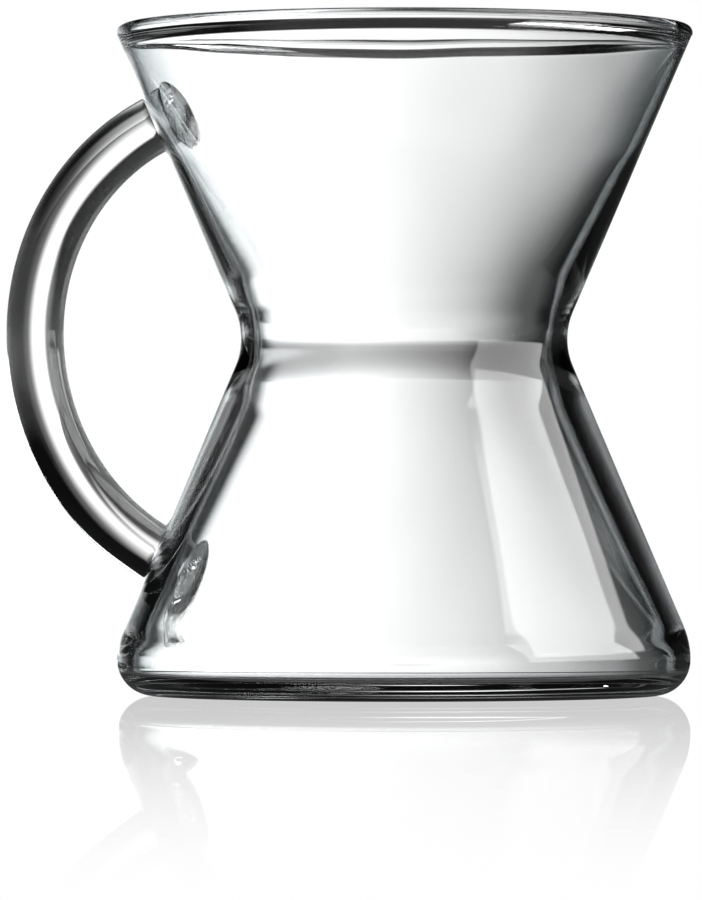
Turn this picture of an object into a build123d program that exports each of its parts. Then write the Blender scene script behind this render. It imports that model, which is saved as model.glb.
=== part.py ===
from build123d import *
import os
from math import cos, radians, sin, tan

# A clear glass mug: an hourglass vessel with a bent glass rod for a handle, all of borosilicate glass.
# Millimetres. The origin is the centre of the flat base, +Z is up and the handle is towards -X.

# Vessel, outside: two cones that meet at the waist, with a rounded foot under a short shoulder.
height = 103
waist_height = 54.8
waist_corner = 24.2
upper_slope = 23.35
lower_slope = 23.15
waist_round = 10.6
foot_radius = 44.1
foot_round = 5.5
shoulder_round = 13

# Vessel, inside: the wall is thin in the upper bowl, and thickens from there down to the waist and the floor.
lip_wall = 1
bowl_wall = 1.3
bowl_wall_height = 83
waist_wall = 3.7
inner_waist_height = 54.3
foot_wall = 2.3
floor_thickness = 3.3
inner_bowl_round = 60
inner_waist_round = 24
inner_shoulder_height = 7
inner_shoulder_round = 7
inner_foot_round = 1.5

# The fire-polished lip is a bead, a little thicker than the wall that it ends.
lip_bead = 1.2
lip_blend = 2

# Handle: a rod bent in two tangent arcs, which meet where it stands furthest out.
rod_radius = 4.5
handle_reach = 62.2
handle_height = 56.3
upper_bend = 35.6
lower_bend = 39.2
upper_turn = 65.7
lower_turn = 62.9

# Each end of the rod is fused to the wall through a flared pad of glass. These are the depths of the
# sections of such a weld, from the rod's end to inside the wall, and how far the pad spreads beyond
# the rod along and across the wall, and has run down it while it was soft, by the last of them.
weld_depths = (0, 0.9, 1.8, 2.7, 3.6)
flare_power = 2.2
upper_spread = (5, 5)
lower_spread = (5.6, 5)
upper_run = 2.5
lower_run = 2.2


def on_slope(corner, z, slope):
    """A point of a cone's outline at height z, for a cone of this slope that starts at the waist."""
    return (corner + abs(z - waist_height) * tan(radians(slope)), z)


def thinned(outer_radius, wall, slope):
    """The radius inside a wall of this thickness, where a cone of this slope is outer_radius outside."""
    return outer_radius - wall / cos(radians(slope))


bead_height = height - lip_bead
bead_centre = on_slope(waist_corner, bead_height, upper_slope)[0] - lip_bead / cos(radians(upper_slope))
shoulder_height = waist_height - (foot_radius - waist_corner) / tan(radians(lower_slope))

# The outer cone runs on into the bead as its tangent, and the inner cone ends inside the bead.
across_the_wall = (cos(radians(upper_slope)), -sin(radians(upper_slope)))
outer_lip = (bead_centre + lip_bead * across_the_wall[0], bead_height + lip_bead * across_the_wall[1])
inner_lip = (outer_lip[0] - lip_wall * across_the_wall[0], outer_lip[1] - lip_wall * across_the_wall[1])

outer_waist = (waist_corner, waist_height)
outer_shoulder = (foot_radius, shoulder_height)
outer_foot = (foot_radius, 0)
outer_rounds = [foot_round, shoulder_round, waist_round]

bowl_radius = on_slope(waist_corner, bowl_wall_height, upper_slope)[0]
inner_bowl = (thinned(bowl_radius, bowl_wall, upper_slope), bowl_wall_height)
inner_waist = (thinned(waist_corner, waist_wall, lower_slope), inner_waist_height)
inner_shoulder = (foot_radius - foot_wall, inner_shoulder_height)
inner_foot = (foot_radius - foot_wall, floor_thickness)
inner_corners = (inner_lip, inner_bowl, inner_waist, inner_shoulder, inner_foot, (0, floor_thickness))
inner_rounds = [inner_bowl_round, inner_waist_round, inner_shoulder_round, inner_foot_round]

# The outer form, solid, which the pads of the welds are cut to.
with BuildPart(mode=Mode.PRIVATE) as outer_form:
    with BuildSketch(Plane.XZ):
        with BuildLine():
            FilletPolyline((0, 0), outer_foot, outer_shoulder, outer_waist, outer_lip, radius=outer_rounds)
            Polyline(outer_lip, (0, outer_lip[1]), (0, 0))
        make_face()
    revolve(axis=Axis.Z)

with BuildPart() as glass_vessel:
    with BuildSketch(Plane.XZ) as wall:
        with BuildLine():
            FilletPolyline((0, 0), outer_foot, outer_shoulder, outer_waist, outer_lip, radius=outer_rounds)
            Line(outer_lip, inner_lip)
            FilletPolyline(*inner_corners, radius=inner_rounds)
            Line((0, floor_thickness), (0, 0))
        make_face()
        with Locations((bead_centre, bead_height)):
            Circle(lip_bead)
        under_the_bead = wall.vertices().filter_by_position(Axis.Y, bead_height - lip_bead, bead_height)
        fillet(under_the_bead.sort_by(Axis.X)[0], radius=lip_blend)
    revolve(axis=Axis.Z)

# The rod's centreline lies in the XZ plane, and stops a weld's length short of the wall.
with BuildLine(Plane.XZ) as centreline:
    CenterArc((upper_bend - handle_reach, handle_height), upper_bend, 180 - upper_turn, upper_turn)
    CenterArc((lower_bend - handle_reach, handle_height), lower_bend, 180, lower_turn)
upper_end = centreline.line @ 0
lower_end = centreline.line @ 1

with BuildPart() as handle_rod:
    with BuildSketch(Plane(origin=upper_end, z_dir=centreline.line % 0)):
        Circle(rod_radius)
    sweep(path=centreline.line)

# A weld starts round, where the rod ends, and flares into its pad. The wall cuts the pad off.
# Its own Z runs on from the end of the rod into the wall, and its X runs down along the wall.
upper_tilt = radians(90 - upper_turn)
lower_tilt = radians(90 - lower_turn)
upper_way_in = (cos(upper_tilt), 0, sin(upper_tilt))
lower_way_in = (cos(lower_tilt), 0, -sin(lower_tilt))
upper_weld_plane = Plane(upper_end, x_dir=(sin(upper_tilt), 0, -cos(upper_tilt)), z_dir=upper_way_in)
lower_weld_plane = Plane(lower_end, x_dir=(-sin(lower_tilt), 0, -cos(lower_tilt)), z_dir=lower_way_in)

with BuildPart() as upper_handle_weld:
    for depth in weld_depths:
        share = (depth / weld_depths[-1]) ** flare_power
        with BuildSketch(upper_weld_plane.offset(depth)):
            with Locations((upper_run * share, 0)):
                Ellipse(rod_radius + upper_spread[0] * share, rod_radius + upper_spread[1] * share)
    loft()
    add(outer_form.part, mode=Mode.SUBTRACT)

with BuildPart() as lower_handle_weld:
    for depth in weld_depths:
        share = (depth / weld_depths[-1]) ** flare_power
        with BuildSketch(lower_weld_plane.offset(depth)):
            with Locations((lower_run * share, 0)):
                Ellipse(rod_radius + lower_spread[0] * share, rod_radius + lower_spread[1] * share)
    loft()
    add(outer_form.part, mode=Mode.SUBTRACT)

glass_vessel.part.label = "glass_vessel"
handle_rod.part.label = "handle_rod"
upper_handle_weld.part.label = "upper_handle_weld"
lower_handle_weld.part.label = "lower_handle_weld"

os.makedirs("parts", exist_ok=True)
export_step(glass_vessel.part, "parts/glass_vessel.step")
export_step(handle_rod.part, "parts/handle_rod.step")
export_step(upper_handle_weld.part, "parts/upper_handle_weld.step")
export_step(lower_handle_weld.part, "parts/lower_handle_weld.step")
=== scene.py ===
import math

import bpy
import numpy as np
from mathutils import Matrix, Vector, noise
from mathutils.geometry import delaunay_2d_cdt


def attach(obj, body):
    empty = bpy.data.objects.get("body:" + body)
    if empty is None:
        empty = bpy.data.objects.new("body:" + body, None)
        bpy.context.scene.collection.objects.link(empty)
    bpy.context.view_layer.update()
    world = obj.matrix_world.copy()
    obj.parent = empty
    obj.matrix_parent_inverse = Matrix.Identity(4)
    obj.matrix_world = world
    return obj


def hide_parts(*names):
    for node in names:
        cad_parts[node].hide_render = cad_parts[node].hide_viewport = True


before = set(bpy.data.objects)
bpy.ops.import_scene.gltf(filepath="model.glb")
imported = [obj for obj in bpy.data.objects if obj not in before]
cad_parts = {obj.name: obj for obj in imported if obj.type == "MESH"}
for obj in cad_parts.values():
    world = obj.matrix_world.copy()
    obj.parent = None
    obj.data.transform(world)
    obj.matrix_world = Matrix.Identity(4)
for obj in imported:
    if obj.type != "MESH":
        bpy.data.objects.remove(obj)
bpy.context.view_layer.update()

# A clear glass mug: a blown hourglass vessel, and a bent rod fused to it through two flared welds.
# The vessel and the rod have the CAD's sizes, on smooth meshes that refract cleanly, and the vessel also has
# the slight waves of blown glass. Sizes are in millimetres, and are turned into metres as each mesh is made.
MM = 0.001

# Vessel, outside.
HEIGHT = 103.0
WAIST_HEIGHT = 54.8
WAIST_CORNER = 24.2
UPPER_SLOPE = math.radians(23.35)
LOWER_SLOPE = math.radians(23.15)
WAIST_ROUND = 10.6
FOOT_RADIUS = 44.1
FOOT_ROUND = 5.5
SHOULDER_ROUND = 13.0

# Vessel, inside.
LIP_WALL = 1.0
BOWL_WALL = 1.3
BOWL_WALL_HEIGHT = 83.0
WAIST_WALL = 3.7
FOOT_WALL = 2.3
FLOOR_THICKNESS = 3.3
INNER_BOWL_ROUND = 60.0
INNER_WAIST_HEIGHT = 54.3
INNER_WAIST_ROUND = 24.0
INNER_SHOULDER_HEIGHT = 7.0
INNER_SHOULDER_ROUND = 7.0
INNER_FOOT_ROUND = 1.5
LIP_BEAD = 1.2
LIP_BLEND = 2.0

# Handle.
ROD_RADIUS = 4.5
HANDLE_REACH = 62.2
HANDLE_HEIGHT = 56.3
UPPER_BEND = 35.6
LOWER_BEND = 39.2
UPPER_TURN = math.radians(65.7)
LOWER_TURN = math.radians(62.9)

# Welds, where they meet the wall: how far each pad spreads past the rod along and across the wall, and how
# far it has run down the wall.
UPPER_SPREAD = (1.4, 1.4)
LOWER_SPREAD = (3.0, 1.9)
UPPER_RUN = 0.9
LOWER_RUN = 1.8

# Mesh fineness: points round the vessel, round the rod, along a bend of it, and up the flare of a weld, and
# the longest step along the vessel's outline.
AROUND = 272
ROUND_ROD = 96
ALONG_BEND = 65
ALONG_FLARE = 28
PROFILE_STEP = 1.0

# The outer wall is laid flat at one radius to be cut along the pads' edges. A cut block of wall goes this
# far past its pad, leaves out grid points this near the pad's edge, and stays out from the vessel's middle.
FLAT_RADIUS = 39.0
BLOCK_MARGIN = 1.5
EDGE_GAP = 0.45
LEAST_RADIUS = 20.0


# ---------------------------------------------------------------- outlines

def point_on_slope(z, slope):
    """A point of the outer cones' outline at height z."""
    return np.array([WAIST_CORNER + abs(z - WAIST_HEIGHT) * math.tan(slope), z])


def arc(centre, radius, start, turn, step):
    """Points of an arc, both ends included."""
    count = max(4, math.ceil(abs(turn) * radius / step), math.ceil(abs(turn) / math.radians(7)))
    angles = start + turn * np.linspace(0, 1, count + 1)
    return centre + radius * np.stack([np.cos(angles), np.sin(angles)], 1)


def line(start, end, step):
    """Points of a line, both ends included."""
    count = max(1, math.ceil(np.linalg.norm(end - start) / step))
    return start + (end - start) * np.linspace(0, 1, count + 1)[:, None]


def joined(runs):
    """One outline from runs that each start where the one before ends."""
    return np.concatenate([runs[0]] + [run[1:] for run in runs[1:]])


def rounded(corners, radii, step):
    """Straight runs between corners, with an arc of its own radius at each inner corner."""
    runs, here = [], np.array(corners[0], float)
    for before, corner, after, radius in zip(corners, corners[1:], corners[2:], radii):
        corner = np.array(corner, float)
        back = (np.array(before) - corner) / np.linalg.norm(np.array(before) - corner)
        on = (np.array(after) - corner) / np.linalg.norm(np.array(after) - corner)
        half = math.acos(float(back @ on)) / 2
        centre = corner + (back + on) / np.linalg.norm(back + on) * radius / math.sin(half)
        first, last = corner + back * radius / math.tan(half), corner + on * radius / math.tan(half)
        start = math.atan2(*(first - centre)[::-1])
        turn = (math.atan2(*(last - centre)[::-1]) - start + math.pi) % (2 * math.pi) - math.pi
        runs += [line(here, first, step), arc(centre, radius, start, turn, step)]
        here = last
    return joined(runs + [line(here, np.array(corners[-1], float), step)])


def vessel_outline(step):
    """The vessel's outline from the middle of its base round to the middle of its floor, and the number of
    its points that are outside, up to the lip."""
    bead_height = HEIGHT - LIP_BEAD
    edge = point_on_slope(bead_height, UPPER_SLOPE)[0]
    bead = np.array([edge - LIP_BEAD / math.cos(UPPER_SLOPE), bead_height])
    across = np.array([math.cos(UPPER_SLOPE), -math.sin(UPPER_SLOPE)])
    outer_lip = bead + LIP_BEAD * across
    inner_lip = outer_lip - LIP_WALL * across
    shoulder = WAIST_HEIGHT - (FOOT_RADIUS - WAIST_CORNER) / math.tan(LOWER_SLOPE)
    outer = rounded(
        [(0, 0), (FOOT_RADIUS, 0), (FOOT_RADIUS, shoulder), (WAIST_CORNER, WAIST_HEIGHT), outer_lip],
        [FOOT_ROUND, SHOULDER_ROUND, WAIST_ROUND], step)

    # The blend under the bead touches the bead and the inner wall.
    inner_bowl = point_on_slope(BOWL_WALL_HEIGHT, UPPER_SLOPE) - [BOWL_WALL / math.cos(UPPER_SLOPE), 0]
    inner_waist = np.array([WAIST_CORNER - WAIST_WALL / math.cos(LOWER_SLOPE), INNER_WAIST_HEIGHT])
    down = (inner_bowl - inner_lip) / np.linalg.norm(inner_bowl - inner_lip)
    inwards = np.array([down[1], -down[0]])
    start = inner_lip + inwards * LIP_BLEND - bead
    along = -(start @ down) + math.sqrt((start @ down) ** 2 - start @ start + (LIP_BEAD + LIP_BLEND) ** 2)
    blend = bead + start + along * down
    bead_start = -UPPER_SLOPE
    bead_end = math.atan2(*(blend - bead)[::-1]) + 2 * math.pi
    blend_start = bead_end - math.pi
    blend_turn = math.atan2(*(-inwards)[::-1]) - blend_start
    lip = [arc(bead, LIP_BEAD, bead_start, bead_end - bead_start, step),
           arc(blend, LIP_BLEND, blend_start, blend_turn, step)]

    inner_shoulder = (FOOT_RADIUS - FOOT_WALL, INNER_SHOULDER_HEIGHT)
    inner_foot = (FOOT_RADIUS - FOOT_WALL, FLOOR_THICKNESS)
    inner = rounded([lip[-1][-1], inner_bowl, inner_waist, inner_shoulder, inner_foot, (0, FLOOR_THICKNESS)],
                    [INNER_BOWL_ROUND, INNER_WAIST_ROUND, INNER_SHOULDER_ROUND, INNER_FOOT_ROUND], step)
    return joined([outer, *lip, inner]), len(outer)


fine_outline, fine_outside = vessel_outline(0.05)


def outer_radius(z):
    """The vessel's outer radius at a height between the foot and the lip."""
    outside = fine_outline[:fine_outside]
    side = outside[:, 1] > 0
    return np.interp(z, outside[side, 1], outside[side, 0])


def on_wall(flat):
    """Points of the outer wall from flat coordinates: distance round from the handle, and height."""
    radius = outer_radius(flat[:, 1])
    angle = math.pi + flat[:, 0] / FLAT_RADIUS
    return np.stack([radius * np.cos(angle), radius * np.sin(angle), flat[:, 1]], 1)


def laid_flat(points):
    """The flat coordinates of points of the outer wall."""
    angle = np.arctan2(points[:, 1], points[:, 0]) % (2 * math.pi)
    return np.stack([(angle - math.pi) * FLAT_RADIUS, points[:, 2]], 1)


# ---------------------------------------------------------------- waves of blown glass

def swell(point, seed, scale):
    """Smooth noise from about -1 to 1 at a point, in swells about this long."""
    return noise.noise(Vector((point[0] / scale, point[1] / scale, point[2] / scale + seed)))


def outer_wave(point):
    """How far the outside stands from its true radius, either way."""
    return 0.10 * swell(point, 11.3, 42) + 0.018 * swell(point, 31.7, 13)


def inner_wave(point):
    """How far the inside stands from its true radius, either way."""
    return 0.10 * swell(point, 53.1, 30) + 0.020 * swell(point, 71.9, 11)


def waved(points, wave):
    """Points moved to or from the axis by a wave, which dies away towards the axis."""
    still, full = 5, 25
    out = np.array(points, float)
    for p in out:
        radius = math.hypot(p[0], p[1])
        if radius > still:
            reach = min(1.0, (radius - still) / (full - still))
            p[:2] *= 1 + wave(p) * reach / radius
    return out


# ---------------------------------------------------------------- meshes

def make_piece(name, points, faces, materials, marks):
    """A mesh object in metres from points in millimetres, shaded smooth except at real edges. A face's mark
    is the number of its material."""
    mesh = bpy.data.meshes.new(name)
    mesh.from_pydata([tuple(p) for p in np.asarray(points) * MM], [], [tuple(f) for f in faces])
    for material in materials:
        mesh.materials.append(material)
    mesh.polygons.foreach_set("material_index", marks)
    mesh.polygons.foreach_set("use_smooth", [True] * len(faces))
    mesh.validate()
    mesh.set_sharp_from_angle(angle=math.radians(50))
    piece = bpy.data.objects.new(name, mesh)
    bpy.context.scene.collection.objects.link(piece)
    return piece


def closed_skin(rings, near_middle, far_middle, turn=False):
    """Points and faces of a skin over round rings, closed by a fan of triangles to a middle point at each
    end. The fans' faces come last. turn faces the skin the other way."""
    points = np.concatenate([*rings, [near_middle, far_middle]])
    near, far = len(points) - 2, len(points) - 1
    last = (len(rings) - 1) * ROUND_ROD
    faces = []
    for i in range(len(rings) - 1):
        for j in range(ROUND_ROD):
            a, b = i * ROUND_ROD + j, i * ROUND_ROD + (j + 1) % ROUND_ROD
            faces.append((a, b, b + ROUND_ROD, a + ROUND_ROD))
    for j in range(ROUND_ROD):
        k = (j + 1) % ROUND_ROD
        faces += [(near, k, j), (last + j, last + k, far)]
    return points, [face[::-1] for face in faces] if turn else faces


class Weld:
    """A flared pad between the rod's end and the wall, with its own directions: into the wall, down it and
    across it."""

    def __init__(self, end, into, down, spread, run):
        self.end, self.into, self.down = end, into, down
        self.across = np.array([0.0, 1.0, 0.0])
        self.spread, self.run = spread, run
        self.foot = self.ring(1.0)
        self.depth = np.array([self.depth_to_wall(p) for p in self.foot])

    def ring(self, share):
        """The section's outline, flat at the rod's end, for a share of the spread from 0 to 1."""
        angles = np.linspace(0, 2 * math.pi, ROUND_ROD, endpoint=False)
        long = (ROD_RADIUS + self.spread[0] * share) * np.cos(angles) + self.run * share
        wide = (ROD_RADIUS + self.spread[1] * share) * np.sin(angles)
        return self.end + long[:, None] * self.down + wide[:, None] * self.across

    def depth_to_wall(self, point):
        """How far a point travels into the weld before it meets the outer wall."""
        near, far = 0.0, 12.0
        for _ in range(40):
            middle = (near + far) / 2
            p = point + middle * self.into
            if math.hypot(p[0], p[1]) > outer_radius(p[2]):
                near = middle
            else:
                far = middle
        return near

    def contact(self):
        """The closed curve where the pad's edge meets the wall."""
        return self.foot + self.depth[:, None] * self.into

    def surface(self):
        """Rings from the rod's end to the wall, flaring until the pad lies along the wall."""
        swing = np.linspace(0, math.pi / 2, ALONG_FLARE)
        return [self.ring(1 - math.cos(a)) + (math.sin(a) * self.depth)[:, None] * self.into for a in swing]


def inside(polygon, point):
    """True if a flat point lies inside a flat closed polygon."""
    x, y = point
    x0, y0 = polygon[:, 0], polygon[:, 1]
    x1, y1 = np.roll(x0, -1), np.roll(y0, -1)
    crossing = (y0 > y) != (y1 > y)
    with np.errstate(divide="ignore", invalid="ignore"):
        at = x0 + (y - y0) / (y1 - y0) * (x1 - x0)
    return np.count_nonzero(crossing & (x < at)) % 2 == 1


def wall_block(edge, rows, flat_grid, index, first):
    """The block of the outer wall round a pad, cut along the pad's edge: the part of the grid that it fills,
    its triangles, and a mark of 1 for each triangle that is fused to the pad. edge is laid flat, and its
    points are numbered from first."""
    low, high = edge.min(0) - BLOCK_MARGIN, edge.max(0) + BLOCK_MARGIN
    standing = (rows[:, 1] > low[1]) & (rows[:, 1] < high[1]) & (rows[:, 0] > LEAST_RADIUS)
    block_rows = np.nonzero(standing)[0]
    side = flat_grid[block_rows[0], :, 0]
    block_columns = np.nonzero((side > low[0]) & (side < high[0]))[0]
    r0, r1, c0, c1 = block_rows[0], block_rows[-1], block_columns[0], block_columns[-1]
    numbers, flat = [], []
    for i in range(r0, r1 + 1):
        for j in range(c0, c1 + 1):
            rim = i in (r0, r1) or j in (c0, c1)
            if rim or np.min(np.linalg.norm(edge - flat_grid[i, j], axis=1)) > EDGE_GAP:
                numbers.append(index[i, j])
                flat.append(flat_grid[i, j])
    start, count = len(flat), len(edge)
    numbers += range(first, first + count)
    flat = np.concatenate([np.array(flat), edge])
    loop = [(start + k, start + (k + 1) % count) for k in range(count)]
    _, _, triangles, came_from, _, _ = delaunay_2d_cdt([Vector(p) for p in flat], loop, [], 0, 1e-7)
    faces, marks = [], []
    for triangle in triangles:
        corners = [came_from[v][0] for v in triangle]
        faces.append([numbers[c] for c in corners])
        marks.append(int(inside(edge, np.mean([flat[c] for c in corners], axis=0))))
    return (slice(r0, r1), slice(c0, c1)), faces, marks


def vessel_mesh(welds):
    """Points, faces and face marks of the vessel. A mark of 1 is a face that is fused to a pad."""
    outline, outside = vessel_outline(PROFILE_STEP)
    rows = outline[1:-1]
    outside -= 1
    angles = np.linspace(0, 2 * math.pi, AROUND, endpoint=False)
    rings = [np.stack([r * np.cos(angles), r * np.sin(angles), np.full(AROUND, z)], 1) for r, z in rows]
    grid = np.concatenate(rings)
    index = np.arange(len(grid)).reshape(len(rows), AROUND)
    flat_grid = laid_flat(grid[:outside * AROUND]).reshape(outside, AROUND, 2)
    bottom, top = len(grid), len(grid) + 1
    middles = np.array([[0, 0, 0], [0, 0, FLOOR_THICKNESS]], float)
    edges = [weld.contact() for weld in welds]

    faces, marks, taken = [], [], np.zeros((len(rows), AROUND), bool)
    first = len(grid) + len(middles)
    for edge in edges:
        block, block_faces, block_marks = wall_block(laid_flat(edge), rows[:outside], flat_grid, index, first)
        taken[block] = True
        faces += block_faces
        marks += block_marks
        first += len(edge)
    for i in range(len(rows) - 1):
        for j in range(AROUND):
            if not taken[i, j]:
                k = (j + 1) % AROUND
                faces.append((index[i, j], index[i, k], index[i + 1, k], index[i + 1, j]))
                marks.append(0)
    for j in range(AROUND):
        k = (j + 1) % AROUND
        faces += [(bottom, index[0, k], index[0, j]), (top, index[-1, j], index[-1, k])]
        marks += [0, 0]

    points = np.concatenate([grid, middles, *edges])
    outer = np.zeros(len(points), bool)
    outer[:outside * AROUND] = True
    outer[bottom + len(middles):] = True
    points[outer] = waved(points[outer], outer_wave)
    points[~outer] = waved(points[~outer], inner_wave)
    return points, faces, marks


def weld_mesh(weld):
    """Points, faces and face marks of one weld: its flared side, and a fused face at each end."""
    side = weld.surface()
    edge = laid_flat(weld.contact())
    middle = edge.mean(0)
    pad = [on_wall(middle + (edge - middle) * share) for share in (0.75, 0.5, 0.25)]
    start = (side[0] + weld.end) / 2
    points, faces = closed_skin([start, *side, *pad], weld.end, on_wall(middle[None])[0])
    flared = ROUND_ROD * (len(side) - 1)
    marks = [1] * ROUND_ROD + [0] * flared + [1] * (len(faces) - ROUND_ROD - flared)
    return points, faces, marks


def rod_centreline():
    """Places along the rod from its upper end to its lower one, each with the direction away from the bend's
    centre. The rod is two tangent arcs, which meet where it stands furthest out."""
    places = []
    for bend, turn, up in ((UPPER_BEND, UPPER_TURN, 1), (LOWER_BEND, LOWER_TURN, -1)):
        shares = np.linspace(1, 0, ALONG_BEND) if up > 0 else np.linspace(0, 1, ALONG_BEND)[1:]
        for share in shares:
            out = np.array([-math.cos(share * turn), 0.0, up * math.sin(share * turn)])
            places.append((np.array([bend - HANDLE_REACH, 0.0, HANDLE_HEIGHT]) + bend * out, out))
    return places


def rod_mesh(places):
    """Points, faces and face marks of the rod, with a fused face at each end."""
    angles = np.linspace(0, 2 * math.pi, ROUND_ROD, endpoint=False)[:, None]
    across = np.array([0, 1.0, 0])
    rings = [centre + ROD_RADIUS * (np.sin(angles) * across - np.cos(angles) * out) for centre, out in places]
    points, faces = closed_skin(rings, places[0][0], places[-1][0], turn=True)
    ends = 2 * ROUND_ROD
    return points, faces, [0] * (len(faces) - ends) + [1] * ends


# ---------------------------------------------------------------- materials

def new_material(name):
    """A material, with its nodes, links and shader."""
    material = bpy.data.materials.new(name)
    material.use_nodes = True
    tree = material.node_tree
    return material, tree.nodes, tree.links, tree.nodes["Principled BSDF"]


def glass(name, edge, streak):
    """Clear borosilicate glass with faint drawn streaks. It is colourless face on, and takes its edge colour
    where it is seen edge on, with painted shade darkening it there. streak is how fine the streaks are along
    each axis, in cycles per metre."""
    material, nodes, links, shader = new_material(name)
    shader.inputs["Roughness"].default_value = 0.0
    shader.inputs["IOR"].default_value = 1.474
    shader.inputs["Transmission Weight"].default_value = 1.0

    coordinates = nodes.new("ShaderNodeTexCoord")
    mapping = nodes.new("ShaderNodeMapping")
    mapping.inputs["Scale"].default_value = streak
    links.new(coordinates.outputs["Object"], mapping.inputs["Vector"])
    streaks = nodes.new("ShaderNodeTexNoise")
    streaks.inputs["Scale"].default_value = 1.0
    streaks.inputs["Detail"].default_value = 3.0
    links.new(mapping.outputs["Vector"], streaks.inputs["Vector"])
    shade = nodes.new("ShaderNodeValToRGB")
    links.new(streaks.outputs["Fac"], shade.inputs["Fac"])
    low, high = shade.color_ramp.elements
    low.position, high.position = 0.3, 0.7
    low.color, high.color = (0.985, 0.992, 0.995, 1), (1, 1, 1, 1)

    # From face on to edge on: where, how much of the edge colour shows, and how much light the painted shade
    # leaves.
    facing = nodes.new("ShaderNodeLayerWeight")
    facing.inputs["Blend"].default_value = 0.5
    # This ramp holds the edge colour and the painted shade that darkens the glass where it is seen edge on.
    depth = nodes.new("ShaderNodeValToRGB")
    links.new(facing.outputs["Facing"], depth.inputs["Fac"])
    levels = depth.color_ramp.elements
    levels[0].color = (1, 1, 1, 1)
    for at, share, left in ((0.5, 0.12, 1.0), (0.75, 0.75, 1.0), (0.88, 1.0, 0.6), (1.0, 1.0, 0.2)):
        level = levels.new(at) if at < 1 else levels[-1]
        level.color = (*(left * (1 - share * (1 - c)) for c in edge), 1)

    tint = nodes.new("ShaderNodeMix")
    tint.data_type = "RGBA"
    tint.blend_type = "MULTIPLY"
    tint.inputs["Factor"].default_value = 1.0
    links.new(depth.outputs["Color"], tint.inputs[6])
    links.new(shade.outputs["Color"], tint.inputs[7])
    links.new(tint.outputs[2], shader.inputs["Base Color"])
    return material


def fused_glass():
    """The inner faces where two pieces of glass are melted together, which nothing shows."""
    material, _, _, shader = new_material("fused_glass")
    shader.inputs["Alpha"].default_value = 0.0
    return material


def seam_glass():
    """The seam where the wall was hot enough to take the rod: a thin cloudy film, uneven and see-through."""
    material, nodes, links, shader = new_material("seam_glass")
    shader.inputs["Base Color"].default_value = (0.95, 0.97, 0.97, 1)
    shader.inputs["Roughness"].default_value = 0.4
    coordinates = nodes.new("ShaderNodeTexCoord")
    clouds = nodes.new("ShaderNodeTexNoise")
    clouds.inputs["Scale"].default_value = 260.0
    clouds.inputs["Detail"].default_value = 4.0
    links.new(coordinates.outputs["Object"], clouds.inputs["Vector"])
    cover = nodes.new("ShaderNodeMapRange")
    for setting, value in (("From Min", 0.42), ("From Max", 0.6), ("To Min", 0.1), ("To Max", 0.7)):
        cover.inputs[setting].default_value = value
    links.new(clouds.outputs["Fac"], cover.inputs["Value"])
    links.new(cover.outputs["Result"], shader.inputs["Alpha"])
    return material


vessel_glass = glass("vessel_glass", (0.80, 0.90, 0.92), (25, 25, 8))
handle_glass = glass("handle_glass", (0.78, 0.89, 0.91), (60, 60, 20))
fused = fused_glass()
seam = seam_glass()


# ---------------------------------------------------------------- the mug

def add_piece(name, node, mesh, materials):
    """A piece that rides on the mug and stands for a CAD node."""
    points, faces, marks = mesh
    piece = make_piece(name, points, faces, materials, marks)
    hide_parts(node)
    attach(piece, "root")


rod_places = rod_centreline()
(upper_end, upper_out), (lower_end, lower_out) = rod_places[0], rod_places[-1]
upper_into = np.array([upper_out[2], 0, -upper_out[0]])
lower_into = np.array([-lower_out[2], 0, lower_out[0]])
upper = Weld(upper_end, upper_into, -upper_out, UPPER_SPREAD, UPPER_RUN)
lower = Weld(lower_end, lower_into, lower_out, LOWER_SPREAD, LOWER_RUN)

add_piece("blown_vessel", "glass_vessel", vessel_mesh([upper, lower]), [vessel_glass, seam])
add_piece("bent_rod", "handle_rod", rod_mesh(rod_places), [handle_glass, fused])
add_piece("upper_weld", "upper_handle_weld", weld_mesh(upper), [handle_glass, fused])
add_piece("lower_weld", "lower_handle_weld", weld_mesh(lower), [handle_glass, fused])

# ---------------------------------------------------------------- camera, in metres

VIEW = math.radians(21.5)
CAMERA_DISTANCE = 1.14
CAMERA_HEIGHT = 0.030
right = Vector((math.cos(VIEW), math.sin(VIEW), 0))
eye = Vector((math.sin(VIEW) * CAMERA_DISTANCE, -math.cos(VIEW) * CAMERA_DISTANCE, CAMERA_HEIGHT))
aim = right * -0.0081 + Vector((0, 0, 0.0377))
camera = bpy.data.objects.new("camera", bpy.data.cameras.new("camera"))
bpy.context.scene.collection.objects.link(camera)
camera.location = eye
camera.rotation_euler = (aim - eye).to_track_quat("-Z", "Y").to_euler()
camera.data.lens = 296.4
camera.data.sensor_width = 36
camera.data.clip_start = 0.05
camera.data.clip_end = 20
bpy.context.scene.camera = camera


# ---------------------------------------------------------------- node sums

class Sum:
    """A number or socket of a node tree, with plain arithmetic that makes Math nodes in Sum.tree."""

    tree = None

    def __init__(self, socket):
        self.socket = socket

    @staticmethod
    def math(operation, *terms):
        node = Sum.tree.nodes.new("ShaderNodeMath")
        node.operation = operation
        for slot, term in zip(node.inputs, terms):
            if isinstance(term, Sum):
                Sum.tree.links.new(term.socket, slot)
            else:
                slot.default_value = term
        return Sum(node.outputs[0])

    def __add__(self, other):
        return Sum.math("ADD", self, other)

    __radd__ = __add__

    def __mul__(self, other):
        return Sum.math("MULTIPLY", self, other)

    __rmul__ = __mul__

    def __rsub__(self, other):
        return Sum.math("SUBTRACT", other, self)

    def __abs__(self):
        return Sum.math("ABSOLUTE", self)


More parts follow.
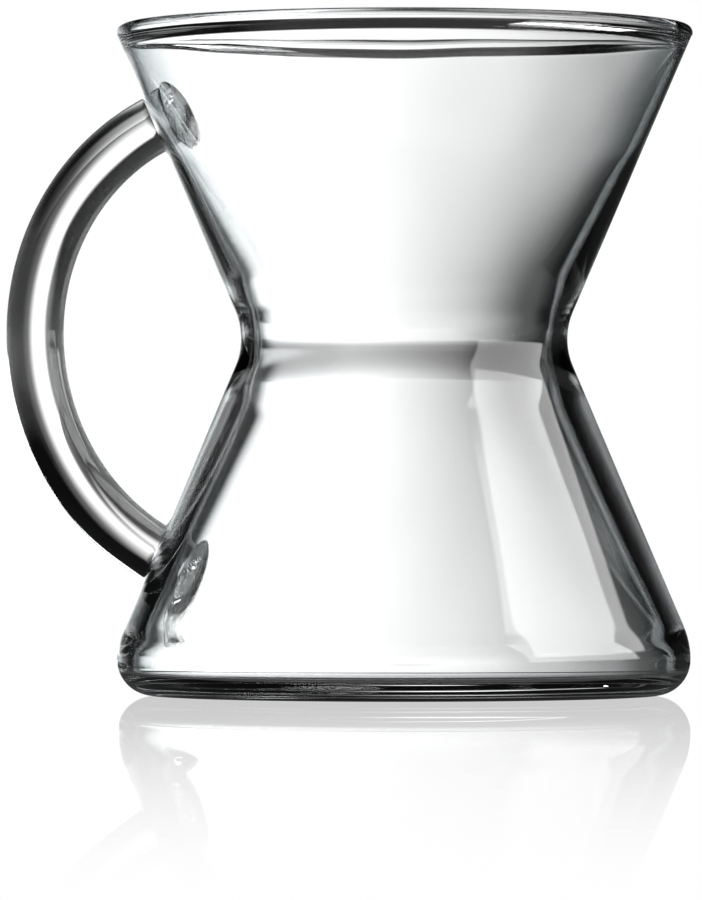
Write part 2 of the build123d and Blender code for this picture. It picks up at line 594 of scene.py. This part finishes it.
def ramp(value, low, high):
    """0 below low and 1 above high, with a smooth rise between. low may be above high."""
    node = Sum.tree.nodes.new("ShaderNodeMapRange")
    node.interpolation_type = "SMOOTHSTEP"
    Sum.tree.links.new(value.socket, node.inputs["Value"])
    if low < high:
        settings = (low, high, 0, 1)
    else:
        settings = (high, low, 1, 0)
    for name, setting in zip(("From Min", "From Max", "To Min", "To Max"), settings):
        node.inputs[name].default_value = setting
    return Sum(node.outputs["Result"])


def band(value, low, high, soft):
    """1 between low and high, falling to 0 over soft on each side."""
    return ramp(value, low - soft / 2, low + soft / 2) * ramp(value, high + soft / 2, high - soft / 2)


def parts_of(vector):
    """The x, y and z of a vector socket."""
    separate = Sum.tree.nodes.new("ShaderNodeSeparateXYZ")
    Sum.tree.links.new(vector, separate.inputs[0])
    return [Sum(socket) for socket in separate.outputs]


# ---------------------------------------------------------------- light
#
# All angles are in degrees, to the right of the way that the camera looks, or above the horizon. To the
# camera the studio is plain white. The levels below are what the glass bends and reflects, as shares of that
# white: a lit backdrop that fades to the right, softboxes at the sides, and dark elsewhere.

DEGREES = 180 / math.pi
DARK = 0.004
BACKDROP = 1.6
LEFT_CARD = 0.12
RIGHT_SOFTBOX = 5.0
TOP_SOFTBOX = 4.0
REFLECTED_BEHIND = 0.7
CLEAR_BEHIND = 0.9


def angle_aside(x, y):
    """The angle to the right of the way that the camera looks, of a direction or a place."""
    ahead = x * -math.sin(VIEW) + y * math.cos(VIEW)
    aside = x * math.cos(VIEW) + y * math.sin(VIEW)
    return Sum.math("ARCTAN2", aside, ahead) * DEGREES


def backdrop(angle):
    """The backdrop's share of its full level at an angle: even on the left, with a soft end on each side."""
    left_end = ramp(angle, -19, -12) * 0.85 + ramp(angle, -30, -14) * 0.15
    right_end = ramp(angle, 7.5, -4.5) * 0.87 + ramp(angle, 16, 3) * 0.08
    return left_end * right_end + 0.01


world = bpy.data.worlds.new("studio")
bpy.context.scene.world = world
world.use_nodes = True
tree = Sum.tree = world.node_tree
tree.nodes.clear()
x, y, z = parts_of(tree.nodes.new("ShaderNodeTexCoord").outputs["Generated"])
azimuth = angle_aside(x, y)
elevation = Sum.math("ARCSINE", z) * DEGREES

# The backdrop is taller straight ahead than at its sides.
ahead = ramp(abs(azimuth), 15, 8)
top_edge = ramp(elevation, 16, 11) * ahead + ramp(elevation, 8, 4) * (1 - ahead)
lights = (
    backdrop(azimuth) * BACKDROP * top_edge
    + band(azimuth, -75, -45, 4) * band(elevation, 5, 30, 8) * LEFT_CARD
    + band(azimuth, 66, 126, 3) * band(elevation, 7, 46, 3) * RIGHT_SOFTBOX
    + band(azimuth, 30, 130, 10) * band(elevation, 50, 80, 6) * TOP_SOFTBOX
    + ramp(abs(azimuth), 120, 150) * band(elevation, 0, 24, 8) * REFLECTED_BEHIND
)
below_horizon = ramp(elevation, -11, -3.5) * 0.6 + 0.4

# Behind the camera there is white for light that comes through the glass, so it is clear from behind too.
# What the floor mirrors straight ahead is the same white that the camera sees.
path = tree.nodes.new("ShaderNodeLightPath")
direct = Sum(path.outputs["Is Camera Ray"])
through = Sum(path.outputs["Is Transmission Ray"])
clear_behind = through * ramp(abs(azimuth), 122, 142) * ramp(elevation, 20, 10) * CLEAR_BEHIND
studio = lights * below_horizon + clear_behind + DARK
mirrored = Sum(path.outputs["Is Glossy Ray"]) * (1 - through) * ramp(abs(azimuth), 5, 4)
strength = direct + (1 - direct) * (mirrored + (1 - mirrored) * studio)
background = tree.nodes.new("ShaderNodeBackground")
output = tree.nodes.new("ShaderNodeOutputWorld")
tree.links.new(strength.socket, background.inputs["Strength"])
background.inputs["Color"].default_value = (1, 1, 1, 1)
tree.links.new(background.outputs[0], output.inputs["Surface"])

# ---------------------------------------------------------------- floor, in metres

FLOOR_RADIUS = 0.62
FLOOR_DROP = 0.0001
FLOOR_POINTS = 128
MIRROR = 0.42

turns = [2 * math.pi * k / FLOOR_POINTS for k in range(FLOOR_POINTS)]
rim = [(FLOOR_RADIUS * math.cos(turn), FLOOR_RADIUS * math.sin(turn), -FLOOR_DROP) for turn in turns]
floor_mesh = bpy.data.meshes.new("floor")
floor_mesh.from_pydata(rim, [], [tuple(range(FLOOR_POINTS))])
floor = bpy.data.objects.new("floor", floor_mesh)
bpy.context.scene.collection.objects.link(floor)
floor_material = bpy.data.materials.new("white_floor")
floor_material.use_nodes = True
floor_mesh.materials.append(floor_material)
tree = Sum.tree = floor_material.node_tree
tree.nodes.clear()
position = tree.nodes.new("ShaderNodeNewGeometry").outputs["Position"]
x, y, z = parts_of(position)
length = tree.nodes.new("ShaderNodeVectorMath")
length.operation = "LENGTH"
tree.links.new(position, length.inputs[0])
distance = Sum(length.outputs["Value"])
side = angle_aside(x, y)

# Seen through the glass, the floor glows with painted light: the far floor carries on the backdrop and dims
# towards the mug, the near floor has a painted pool of light on the left, behind the camera it is white, and
# under the mug a painted shadow leaves only a little light.
far = ramp(distance, 0.20, 0.28)
far_light = far * backdrop(side) * 1.4 * (1 - ramp(distance, 0.62, 0.28) * 0.55)
near_light = (1 - far) * band(side, -24, -5, 10) * ramp(distance, 0.055, 0.10)
behind_light = ramp(abs(side), 105, 135) * ramp(distance, 0.085, 0.125) * 0.8
painted_shade_under_mug = ramp(distance, 0.16, 0.06) * 0.06
painted_floor_light = far_light + near_light + behind_light + painted_shade_under_mug + DARK

# To the camera the floor is white and glossy, and its reflection fades away from the mug.
direct = Sum(tree.nodes.new("ShaderNodeLightPath").outputs["Is Camera Ray"])
white = tree.nodes.new("ShaderNodeEmission")
tree.links.new((direct + (1 - direct) * painted_floor_light).socket, white.inputs["Strength"])
mirror = tree.nodes.new("ShaderNodeBsdfGlossy")
mirror.inputs["Roughness"].default_value = 0.0
mirror.inputs["Color"].default_value = (1, 1, 1, 1)
mix = tree.nodes.new("ShaderNodeMixShader")
tree.links.new((direct * ramp(distance, 0.60, 0.0) * MIRROR).socket, mix.inputs["Fac"])
tree.links.new(white.outputs[0], mix.inputs[1])
tree.links.new(mirror.outputs[0], mix.inputs[2])
output = tree.nodes.new("ShaderNodeOutputMaterial")
tree.links.new(mix.outputs[0], output.inputs["Surface"])

# ---------------------------------------------------------------- picture

scene = bpy.context.scene
scene.view_settings.view_transform = "Standard"
scene.cycles.max_bounces = 32
scene.cycles.transmission_bounces = 28
scene.cycles.glossy_bounces = 12
scene.cycles.transparent_max_bounces = 32
scene.cycles.sample_clamp_indirect = 0
scene.cycles.caustics_reflective = True
scene.cycles.caustics_refractive = True
scene.cycles.use_denoising = True
